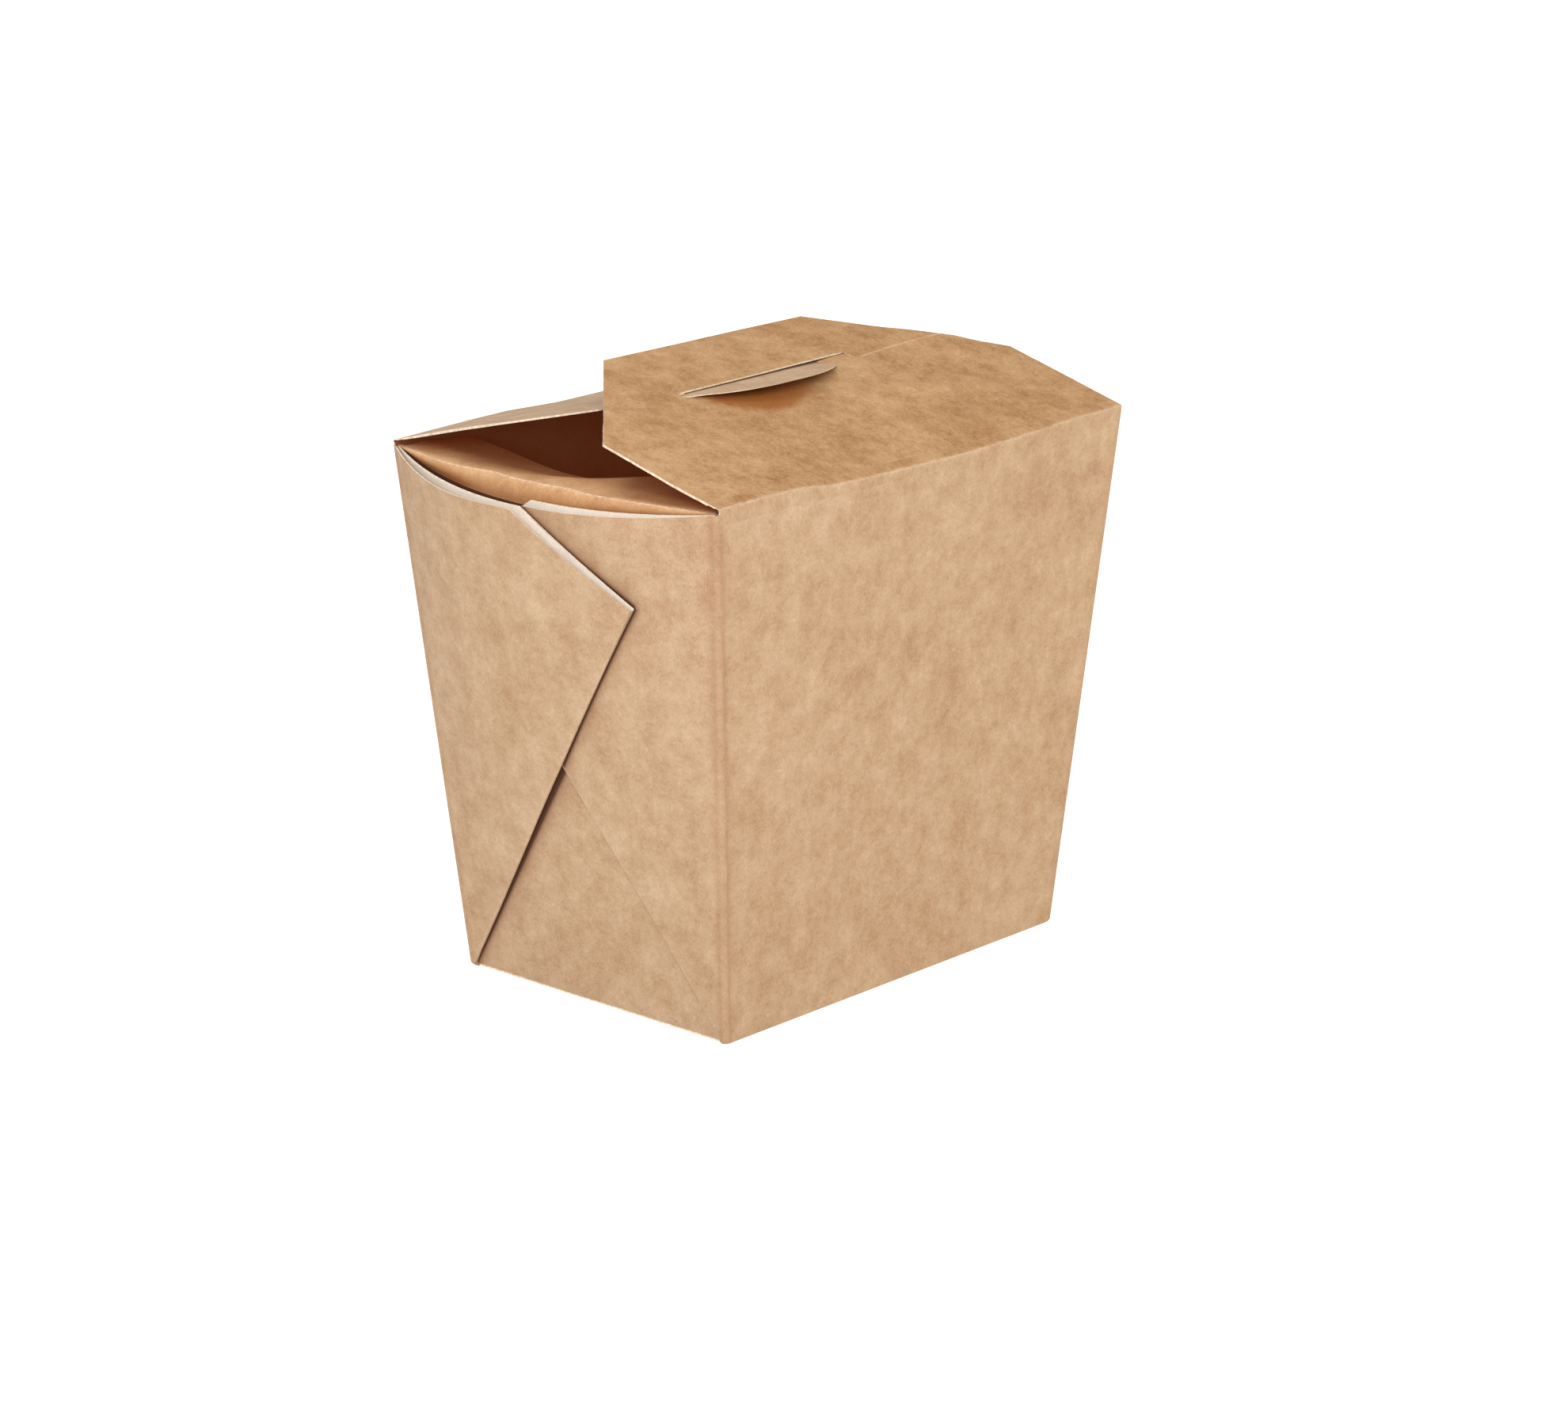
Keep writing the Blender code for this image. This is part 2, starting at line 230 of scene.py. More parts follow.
class Sheet:
    """One sheet of board, gathered patch by patch, with its kraft side facing along the normals."""

    def __init__(self):
        self.points, self.board, self.wear, self.shade, self.gap = [], [], [], [], []
        self.faces, self.finishes = [], []

    def add(self, grid, board, wear=None, shade=None, gap=None, keep=None, flip=False, finish=0):
        """A patch from a grid of points and of their flat places on the board.

        gap is the distance to the back gusset's edge, keep says which cells hold board, and finish says
        which three of the materials the patch takes.
        """
        rows, columns = grid.shape[:2]
        first = len(self.points)
        self.points += [tuple(p) for p in grid.reshape(-1, 3)]
        self.board += [(p[0], p[1], 0.0) for p in board.reshape(-1, 2)]
        zeros = np.zeros((rows, columns))
        self.wear += list((zeros if wear is None else wear).reshape(-1))
        self.shade += list((zeros if shade is None else shade).reshape(-1))
        self.gap += list((zeros + NO_HALO if gap is None else gap).reshape(-1))
        for i in range(rows - 1):
            for j in range(columns - 1):
                if keep is None or keep[i, j]:
                    a = first + i * columns + j
                    quad = (a, a + 1, a + columns + 1, a + columns)
                    self.faces.append(quad[::-1] if flip else quad)
                    self.finishes.append(3 * finish)

    def build(self, name, body, materials):
        """The finished object: welded, thick, smooth with sharp cut edges, and riding on its body."""
        mesh = bpy.data.meshes.new(name)
        mesh.from_pydata(self.points, [], self.faces)
        for material in materials:
            mesh.materials.append(material)
        mesh.polygons.foreach_set("material_index", self.finishes)
        for label, kind, field, values in (
            ("board", "FLOAT_VECTOR", "vector", self.board),
            ("wear", "FLOAT", "value", self.wear),
            ("shade", "FLOAT", "value", self.shade),
            ("gap", "FLOAT", "value", self.gap),
        ):
            layer = mesh.attributes.new(label, kind, "POINT")
            layer.data.foreach_set(field, np.array(values).astype(np.float32).ravel())
        shape = bmesh.new()
        shape.from_mesh(mesh)
        bmesh.ops.remove_doubles(shape, verts=shape.verts, dist=2e-6)
        loose = [v for v in shape.verts if not v.link_faces]
        bmesh.ops.delete(shape, geom=loose, context="VERTS")
        shape.to_mesh(mesh)
        shape.free()
        flat = bpy.data.objects.new(name + "_flat", mesh)
        bpy.context.scene.collection.objects.link(flat)
        thick = flat.modifiers.new("board", "SOLIDIFY")
        thick.thickness = BOARD
        thick.offset = -1.0
        thick.use_even_offset = True
        thick.thickness_clamp = 2.0
        thick.material_offset = 1
        thick.material_offset_rim = 2
        bpy.context.view_layer.update()
        solid = bpy.data.meshes.new_from_object(flat.evaluated_get(bpy.context.evaluated_depsgraph_get()))
        bpy.data.objects.remove(flat)
        solid.name = name
        solid.shade_smooth()
        solid.set_sharp_from_angle(angle=math.radians(50))
        obj = bpy.data.objects.new(name, solid)
        bpy.context.scene.collection.objects.link(obj)
        if body:
            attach(obj, body)
        return obj


# Walls and layers at the ends


def foot(z):
    """How far the rounded bottom edge draws in at height z."""
    low = max(0.0, 1.0 - z / FOOT_RADIUS)
    return FOOT_RADIUS * (1.0 - math.sqrt(max(0.0, 1.0 - low * low)))


def straight_half(h):
    return BASE_LENGTH / 2 + h * (TOP_LENGTH - BASE_LENGTH) / 2 - foot(h * RIM_HEIGHT)


def half_width(h):
    return BASE_WIDTH / 2 + h * (TOP_WIDTH - BASE_WIDTH) / 2 - foot(h * RIM_HEIGHT)


def end_wall_out(t, h):
    bow = (END_BOW + END_BOW_LEAN * t) * (1 - t * t)
    unevenness = 0.10 * MM * wave(t * 0.04, h * 0.10, 0.022, 3.0) * (1 - t * t)
    return END_SUNK + h * bow + unevenness


def fold_share(t):
    """Height share of a gusset's fold at width share t, for the gusset at the t = 1 corner."""
    spread = (TOP_WIDTH - BASE_WIDTH) / 2 / RIM_HEIGHT
    return BASE_WIDTH / 2 * (1 - t) / (math.tan(FOLD_ANGLE) + t * spread) / RIM_HEIGHT


def tip_place():
    share = TIP_REACH / math.tan(FOLD_ANGLE) / RIM_HEIGHT
    return (BASE_WIDTH / 2 - TIP_REACH) / (BASE_WIDTH / 2 + share * (TOP_WIDTH - BASE_WIDTH) / 2), share


def cut_share(t, top_end=0.0):
    """Height share of a gusset's free edge: the rim, then the straight cut down to the tip."""
    tip_t, tip_h = tip_place()
    if t >= top_end:
        return 1.0
    return tip_h + (1.0 - tip_h) * (t - tip_t) / (top_end - tip_t)


def climb(t, h):
    """0 on the gusset's fold and 1 at the rim, for the gusset at the t = 1 corner."""
    low = fold_share(t)
    return min(1.0, max(0.0, (h - low) / (1.0 - low)))


def back_gap(t, h):
    """How far a place on the end lies outside the back gusset, for whose corner t is 1."""
    tip_t, tip_h = tip_place()
    steep = RIM_HEIGHT * (1.0 - tip_h) / (abs(tip_t) * TOP_WIDTH / 2)
    under = (fold_share(t) - h) * RIM_HEIGHT * math.sin(FOLD_ANGLE)
    above = (h - cut_share(t)) * RIM_HEIGHT / math.hypot(1.0, steep)
    return max(under, above if t < 0.0 else -1.0)


def corner_shade(distance):
    """Painted shade on the board beside a vertical corner, at a distance from its rounding."""
    return CORNER_SHADE * math.exp(-((distance / CORNER_SHADE_REACH) ** 2))


def corner_weight(sign, side):
    """The front left corner takes the full painted shade; side is below 0 on the left."""
    return 1.0 if sign < 0 and side < 0 else FAINT_CORNER


def wall_shade(sign, x_share, h):
    return corner_weight(sign, x_share) * corner_shade((1 - abs(x_share)) * straight_half(h))


def front_inner_out(t, h):
    """Kraft side of the front gusset's inner ply; here t = 1 is the gusset's own corner."""
    top = INNER_SUNK + FRONT_INNER_BOW * (1 - t * t)
    gap = max(0.0, top - end_wall_out(-t, 1.0) - 0.05 * MM)
    return end_wall_out(-t, h) + 0.05 * MM + gap * climb(t, h)


def front_outer_out(t, h):
    top = CORNER_OUT + FRONT_OUTER_BOW * (1 - t * t)
    gap = max(0.0, top - front_inner_out(t, 1.0) - PLY_PAIR)
    return front_inner_out(t, h) + PLY_PAIR + gap * climb(t, h) ** 1.2


def back_inner_out(t, h):
    spread = 1 - abs(t) ** 2.2 if t > 0 else 1 + 0.4 * abs(t)
    return end_wall_out(t, h) + 0.05 * MM + BACK_LIFT * h**BACK_LIFT_POWER * spread


def outer_dip(wrap, t):
    """Dip of a gusset's outer rim in the middle of the wall; the back one hangs lower beside its middle."""
    return wrap["outer_dip"] + wrap["side_dip"] * float(smooth(t / 0.6))


def back_outer_out(t, h):
    top = CORNER_OUT + BACK_OUTER_BOW * (1 - abs(t) ** BACK_OUTER_POWER)
    gap = max(0.0, top - back_inner_out(t, 1.0) - PLY_PAIR)
    return back_inner_out(t, h) + PLY_PAIR + gap * climb(t, h) ** 1.2


WRAPS = {
    "front": {
        "sign": -1,
        "inner": front_inner_out,
        "outer": front_outer_out,
        "inner_dip": FRONT_INNER_DIP,
        "outer_dip": FRONT_OUTER_DIP,
        "side_dip": 0.0,
        "outer_top_end": 0.0,
    },
    "back": {
        "sign": 1,
        "inner": back_inner_out,
        "outer": back_outer_out,
        "inner_dip": BACK_INNER_DIP,
        "outer_dip": BACK_OUTER_DIP,
        "side_dip": BACK_SIDE_DIP,
        "outer_top_end": 0.6 * MM / (TOP_WIDTH / 2),
    },
}


def end_place(end, sign, t, h, out, dip, drop=0.0):
    """A point on a layer at an end wall: t = 1 is at the corner of the wall that sign names."""
    z = h * (RIM_HEIGHT - dip * (1 - t * t)) - drop
    y = sign * t * (half_width(h) - CORNER_RADIUS)
    return end * (straight_half(h) + out), y, max(z, 0.0)


def crease_shift(x, sign):
    """How far the crease stands above its straight line and bulges outward at x."""
    if sign > 0:
        return float(np.interp(x, *zip(*BACK_CREASE))) * MM, 0.0
    places, rises, bulges = zip(*CREASE_LINE)
    return float(np.interp(x, places, rises)) * MM, float(np.interp(x, places, bulges)) * MM


def wall_place(sign, x_share, h):
    """A point on a long wall: x_share runs from -1 to 1 between the rounded corners."""
    across = straight_half(h) + CORNER_OUT - CORNER_RADIUS
    x = x_share * across
    bulge = crease_shift(x, sign)[1] * float(smooth((h - 0.75) / 0.25))
    calm = (1 - x_share**2) * math.sin(math.pi * min(1.0, h)) ** 0.5
    uneven = 0.16 * MM * wave(x, h * 0.1, 0.030, 7.0 + sign) * calm
    return x, sign * (half_width(h) + bulge + uneven), h * RIM_HEIGHT


def wall_columns():
    """x shares of the long walls' columns, with one under each end of the lid panels' folds."""
    return np.concatenate([[-1.0], (2 * graded(72, 0.35) - 1) * FOLD_SHARE, [1.0]])


def wall_rows():
    """Height shares from the base to the crease strip, closer at both ends."""
    foot_rows = np.array([0.0, 0.04, 0.12, 0.25, 0.45, 0.75, 1.0]) * FOOT_RADIUS / RIM_HEIGHT
    upper = graded(56, 0.3) * (STRIP_SHARE - foot_rows[-1]) + foot_rows[-1]
    return np.concatenate([foot_rows, upper[1:]])


def top_rows():
    return np.linspace(STRIP_SHARE, 1.0, 5)


def corner_places(end, sign, h, steps=8):
    """Points round a vertical corner, from the long wall's side to the end's side."""
    across = straight_half(h) + CORNER_OUT - CORNER_RADIUS
    deep = half_width(h) - CORNER_RADIUS
    places = []
    for turn in np.linspace(0.0, math.pi / 2, steps + 1):
        x = across + CORNER_RADIUS * math.sin(turn)
        y = deep + CORNER_RADIUS * math.cos(turn)
        places.append((end * x, sign * y, h * RIM_HEIGHT))
    return places


def gusset_columns():
    """Width shares from the corner to the tip, closer at both ends."""
    tip_t, _ = tip_place()
    return 1.0 + (tip_t + 0.004 - 1.0) * graded(64, 0.55)


def gusset_span(wrap, t, share):
    """Height share on a gusset's outer ply where share runs from its fold, 0, to its free edge, 1."""
    low = fold_share(t)
    high = cut_share(t, wrap["outer_top_end"])
    return low + (high - low) * share


def nose_radius(wrap, t):
    low = fold_share(t)
    return (wrap["outer"](t, low) - wrap["inner"](t, low)) / 2


def nose_lift(wrap, t):
    """Height share by which the plies clear a gusset's fold, to leave room for its rounding."""
    span = cut_share(t, wrap["outer_top_end"]) - fold_share(t)
    room = min(1.0, max(0.0, span * 6)) * min(1.0, (1 - t) * 12)
    return nose_radius(wrap, t) / math.sin(FOLD_ANGLE) / RIM_HEIGHT * room


def long_wall(name, materials):
    """A long wall with its rounded corners and, on both ends, the gussets that fold on from it."""
    wrap = WRAPS[name]
    sign = wrap["sign"]
    sheet = Sheet()
    shares = wall_columns()
    rows = wall_rows()
    grid = np.array([[wall_place(sign, s, h) for s in shares] for h in rows])
    board = grid[:, :, [0, 2]].copy()
    shade = np.array([[wall_shade(sign, s, h) for s in shares] for h in rows])
    depth = RIM_HEIGHT - grid[:, :, 2]
    pale = CREASE_PALE * np.exp(-depth / PALE_REACH) * smooth((0.030 - grid[:, :, 0]) / 0.060) * (sign < 0)
    sheet.add(grid, board, pale, shade, flip=sign > 0)
    for end in (-1, 1):
        for part in (rows, top_rows()):
            corner = np.array([corner_places(end, sign, h) for h in part])
            arc = np.linspace(0.0, CORNER_RADIUS * math.pi / 2, corner.shape[1])
            start = straight_half(1.0) - CORNER_RADIUS
            flat = np.zeros(corner.shape[:2] + (2,))
            flat[:, :, 0] = end * (start + arc)[None, :]
            flat[:, :, 1] = corner[:, :, 2]
            around = np.linspace(-1, 1, corner.shape[1])[None, :] * np.ones((len(part), 1))
            shade = corner_weight(sign, end) * CORNER_SHADE * (0.65 + 0.35 * np.abs(around) ** 2)
            sheet.add(corner, flat, 0.05 * (1 - np.abs(around)), shade, flip=sign * end > 0)
        gusset_outer(sheet, wrap, end, rows, start + arc[-1])
        gusset_inner(sheet, wrap, end, start + arc[-1])
        side = shares[[-2, -1]] if end > 0 else shares[[0, 1]]
        patch = np.array([[wall_place(sign, s, h) for s in side] for h in top_rows()])
        sheet.add(patch, patch[:, :, [0, 2]].copy(), flip=sign > 0)
    return sheet.build(name + "_wall", "tub", materials)


def gusset_outer(sheet, wrap, end, rows, start):
    """Outer ply of one gusset, added to its wall's sheet; start is the corner's end along the board."""
    sign = wrap["sign"]
    ts = gusset_columns()
    for part in (rows, top_rows()):
        grid, flat, wear, shade, gap = [], [], [], [], []
        for share in part:
            line, places, worn, dark, apart = [], [], [], [], []
            for t in ts:
                h = gusset_span(wrap, t, share)
                h += nose_lift(wrap, t) * (1 - share)
                out = wrap["outer"](t, h)
                if t >= 1.0:
                    out = CORNER_OUT
                point = end_place(end, sign, t, h, out, outer_dip(wrap, t))
                line.append(point)
                along = start + (1 - t) * half_width(h)
                places.append((end * along, point[2]))
                from_fold = (h - fold_share(t)) * RIM_HEIGHT * math.sin(FOLD_ANGLE) / MM
                worn.append(FOLD_WEAR * math.exp(-from_fold / 0.5))
                dark.append(corner_shade((1 - t) * half_width(h)))
                apart.append(back_gap(-t, h) if sign < 0 else NO_HALO)
            grid.append(line)
            flat.append(places)
            wear.append(worn)
            shade.append(dark)
            gap.append(apart)
        outer = [np.array(rows_of) for rows_of in (grid, flat, wear, shade, gap)]
        sheet.add(*outer, flip=sign * end > 0, finish=1)


def gusset_inner(sheet, wrap, end, start):
    """Rounded fold and inner ply of one gusset."""
    sign = wrap["sign"]
    ts = gusset_columns()
    grid, flat, wear = [], [], []
    for turn in np.linspace(0.0, math.pi, 9):
        line, places, worn = [], [], []
        for t in ts:
            radius = nose_radius(wrap, t)
            lift = nose_lift(wrap, t)
            h = fold_share(t) + lift
            top = wrap["outer"](t, h) if t < 1.0 else CORNER_OUT
            out = top - radius * (1 - math.cos(turn))
            drop = lift * RIM_HEIGHT * math.sin(turn)
            dip = outer_dip(wrap, t) + (wrap["inner_dip"] - outer_dip(wrap, t)) * turn / math.pi
            point = end_place(end, sign, t, h, out, dip, drop)
            line.append(point)
            places.append((end * (start + (1 - t) * half_width(h)), point[2] - turn * radius))
            worn.append(FOLD_WEAR)
        grid.append(line)
        flat.append(places)
        wear.append(worn)
    for share in graded(34, 0.4)[1:]:
        line, places, worn = [], [], []
        for t in ts:
            radius = nose_radius(wrap, t)
            low = fold_share(t) + nose_lift(wrap, t)
            high = max(cut_share(t), low + 0.001)
            h = low + (high - low) * share
            first = wrap["outer"](t, low) - 2 * radius
            out = wrap["inner"](t, h) + (first - wrap["inner"](t, low)) * math.exp(-share * 12)
            point = end_place(end, sign, t, h, out, wrap["inner_dip"])
            line.append(point)
            places.append((end * (start + (1 - t) * half_width(h)), -point[2]))
            worn.append(0.0)
        grid.append(line)
        flat.append(places)
        wear.append(worn)
    sheet.add(np.array(grid), np.array(flat), np.array(wear), flip=sign * end < 0, finish=1)


# End walls with their flaps


def ridge_out(t):
    dents = 0.9 * math.exp(-(((t - 0.30) / 0.09) ** 2)) + 0.7 * math.exp(-(((t + 0.16) / 0.07) ** 2))
    bow = RIDGE_BOW * (1 - abs(t) ** 4) - dents * MM
    return min(bow, END_SUNK + (END_BOW + END_BOW_LEAN * t) * (1 - t * t) - 0.3 * MM)


def flap_sag(y, share):
    """How far the flap's inner part hangs down at y, share of the way from the ridge to its free edge."""
    start = -0.003 - 0.008 * share
    rise = float(smooth((y - start) / 0.014))
    fall = float(smooth((0.038 - y) / 0.028))
    return FLAP_SAG * rise * fall * share**1.3


def end_wall(name, end, materials):
    """An end wall, the narrow face above its curved fold, and the flap that turns in over the box."""
    sheet = Sheet()
    ts = 2 * graded(48, 0.35) - 1
    rows = np.concatenate([wall_rows(), top_rows()[1:]])
    grid, flat, wear, shade, gap = [], [], [], [], []
    rim = len(rows)

    def row(places, down, worn, dark, apart=None):
        grid.append(places)
        flat.append([(p[1], down) for p in places])
        wear.append([worn] * len(places))
        shade.append(dark)
        gap.append(apart or [NO_HALO] * len(places))

    for h in rows:
        places = []
        for t in ts:
            z = h * (RIM_HEIGHT - CREASE_DIP * (1 - t * t))
            y = t * (half_width(h) - CORNER_RADIUS)
            places.append((end * (straight_half(h) + end_wall_out(t, h)), y, z))
        row(places, h * RIM_HEIGHT, 0.0, [0.0] * len(ts), [back_gap(t, h) for t in ts])
    for share in (0.03, 0.08, 0.16, 0.28, 0.42, 0.57, 0.72, 0.85, 0.94):
        places = []
        for t in ts:
            y = t * (half_width(1.0) - CORNER_RADIUS + (CORNER_RADIUS - RIDGE_INSET) * share)
            crease = straight_half(1.0) + end_wall_out(t, 1.0)
            ridge = TOP_LENGTH / 2 + ridge_out(t)
            low = RIM_HEIGHT - CREASE_DIP * (1 - t * t)
            swell = 0.25 * MM * math.sin(math.pi * share)
            x = crease + (ridge - crease) * share + swell
            places.append((end * x, y, low + (RIDGE_HEIGHT - low) * share))
        # Painted shade in the valley between the gusset's plies and the flap's first face
        dark = [math.exp(-((share / 0.6) ** 2))] * len(ts)
        row(places, RIM_HEIGHT + RIDGE_REACH * share, 0.35 * share**6, dark)
    for share in (0.0, 0.012, 0.03, 0.06, 0.11, 0.18, 0.26, 0.35, 0.45, 0.55, 0.65, 0.75, 0.85, 0.93, 1.0):
        places = []
        for t in ts:
            drawn = FLAP_SPAN + (1 - FLAP_SPAN) * math.exp(-share / 0.03)
            y = t * drawn * (half_width(1.0) - RIDGE_INSET)
            ridge = TOP_LENGTH / 2 + ridge_out(t)
            x = ridge + (FLAP_END_X - ridge) * share
            crown = 0.35 * MM * math.sin(math.pi * min(1.0, share * 1.6)) ** 2
            z = RIDGE_HEIGHT + (FLAP_END_HEIGHT - RIDGE_HEIGHT) * share - flap_sag(y, share) + crown
            places.append((end * x, y, z))
        # Painted shade on the flap's inner part under the lid panels, stronger towards the front under the
        # front panel
        deep = 0.5 * float(smooth((share - 0.1) / 0.5))
        front = 0.8 * float(smooth(share / 0.12))
        dark = [max(deep, front * float(smooth((-t - 0.25) / 0.5))) for t in ts]
        row(places, RIM_HEIGHT + RIDGE_REACH + FLAP_LENGTH * share, 0.85 * math.exp(-share * 30), dark)
    arrays = [np.array(rows_of) for rows_of in (grid, flat, wear, shade, gap)]
    sheet.add(*[rows_of[:rim] for rows_of in arrays], flip=end < 0)
    sheet.add(*[rows_of[rim - 1 :] for rows_of in arrays], flip=end < 0, finish=1)
    return sheet.build(name, "tub", materials)


def base(materials):
    """The bottom panel, inside the rounded bottom edges."""
    sheet = Sheet()
    across, deep = BASE_LENGTH / 2 - FOOT_RADIUS, BASE_WIDTH / 2 - FOOT_RADIUS
    xs, ys = np.linspace(-across, across, 40), np.linspace(-deep, deep, 28)
    grid = np.array([[(x, y, 0.0) for x in xs] for y in ys])
    sheet.add(grid, grid[:, :, :2].copy(), flip=True)
    return sheet.build("base_panel", "tub", materials)


# Lid panels


def front_line(v):
    """Run and rise of a front panel point that lies v along the board, from the fold."""
    near, far = min(v, FRONT_SCORE), max(v - FRONT_SCORE, 0.0)
    run = near * math.cos(FRONT_SLOPE) + far * math.cos(FRONT_SLOPE_END)
    rise = near * math.sin(FRONT_SLOPE) + far * math.sin(FRONT_SLOPE_END)
    return run, rise


def back_line(v):
    """Run and rise of a back panel point that lies v along the bent board, from the fold."""
    steps = np.linspace(0.0, v, 61)
    slopes = np.radians(np.interp(steps, *zip(*BACK_BEND)))
    middles = (slopes[1:] + slopes[:-1]) / 2
    return float(np.sum(np.cos(middles)) * v / 60), float(np.sum(np.sin(middles)) * v / 60)


def lid_place(sign, line, x, v):
    """A point on a lid panel: sign -1 is the front panel, 1 the back one."""
    run, rise = line(v)
    fade = 1 - float(smooth(v / CREASE_FADE))
    drop, bulge = crease_shift(x, sign)
    uneven = 0.12 * MM * wave(x, v, 0.025, 11.0 + sign) * (1 - fade)
    twist = 0.0
    if sign > 0:
        twist = BACK_TWIST * max(0.0, x - TWIST_FROM) / TWIST_SPAN * float(smooth((v - 0.022) / 0.016))
    y = sign * (TOP_WIDTH / 2 + bulge * fade - run)
    return x, y, LID_HEIGHT + rise + drop * fade + uneven - twist


def fold_columns():
    """x of the columns that the crease strips and the lid panels share."""
    return wall_columns()[1:-1] / FOLD_SHARE * LID_HALF


def crease_strip(name, sign, line, materials):
    """The bend between a wall's top and its lid panel."""
    sheet = Sheet()
    shares = wall_columns()[1:-1]
    grid, flat, wear = [], [], []
    tight = 0.55 * MM
    for i in range(15):
        line_points, places, worn = [], [], []
        for share, x in zip(shares, fold_columns()):
            low = Vector(wall_place(sign, share, STRIP_SHARE))
            drop, bulge = crease_shift(x, sign)
            apex = Vector((x, sign * (half_width(1.0) + 0.06 * MM + bulge), LID_HEIGHT + drop))
            high = Vector(lid_place(sign, line, x, STRIP_REACH))
            a = apex + (low - apex).normalized() * tight
            b = apex + (high - apex).normalized() * tight
            if i <= 4:
                p = low.lerp(a, i / 4)
            elif i <= 10:
                s = (i - 4) / 6
                p = a * (1 - s) ** 2 + apex * 2 * s * (1 - s) + b * s**2
            else:
                p = b.lerp(high, (i - 10) / 4)
            line_points.append(tuple(p))
            places.append((x, STRIP_SHARE * RIM_HEIGHT + 0.0045 * i / 14))
            worn.append(0.45 * math.exp(-(((i - 7) / 2.0) ** 2)))
        grid.append(line_points)
        flat.append(places)
        wear.append(worn)
    grid, flat, wear = np.array(grid), np.array(flat), np.array(wear)
    sheet.add(grid[:8], flat[:8], wear[:8], flip=sign > 0)
    sheet.add(grid[7:], flat[7:], wear[7:], flip=sign > 0, finish=1)
    obj = sheet.build(name, None, materials)
    run, rise = line(STRIP_REACH - 0.1 * MM)
    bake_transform(obj)
    return obj


def slot_shift(x, u):
    """How far a row of the front panel that lies u along the board runs askew at x, near the slot."""
    across = min(1.0, max(0.0, (x - SLOT_LEFT) / (SLOT_RIGHT - SLOT_LEFT)))
    near = float(smooth((u - 0.032) / 0.004)) * float(smooth((0.048 - u) / 0.008))
    return SLOT_SKEW * across * near


def lip_lift(x, u):
    """How far the near lip of the slot gives way under the tongue."""
    if u >= SLOT_FAR - 1e-6:
        return 0.0
    window = float(smooth((x - SLOT_LEFT) / 0.006)) * float(smooth((SLOT_RIGHT - 0.004 - x) / 0.006))
    return -window * LIP_DROP * math.exp(-max(0.0, SLOT_NEAR - u) / LIP_REACH)


def under_tongue(x, v):
    """Brown shade where the tongue overhangs the front panel, sharp on the left and fading to the right."""
    edge = float(np.interp(x / MM, *zip(*SHADE_EDGE)))
    right = float(smooth((x / MM + 12.0) / 28.0))
    left = float(smooth((x / MM + 26.5) / 2.5))
    return TONGUE_SHADE * left * (1 - 0.6 * right) * float(smooth((v / MM - edge) / (2.5 + 6.0 * right)))


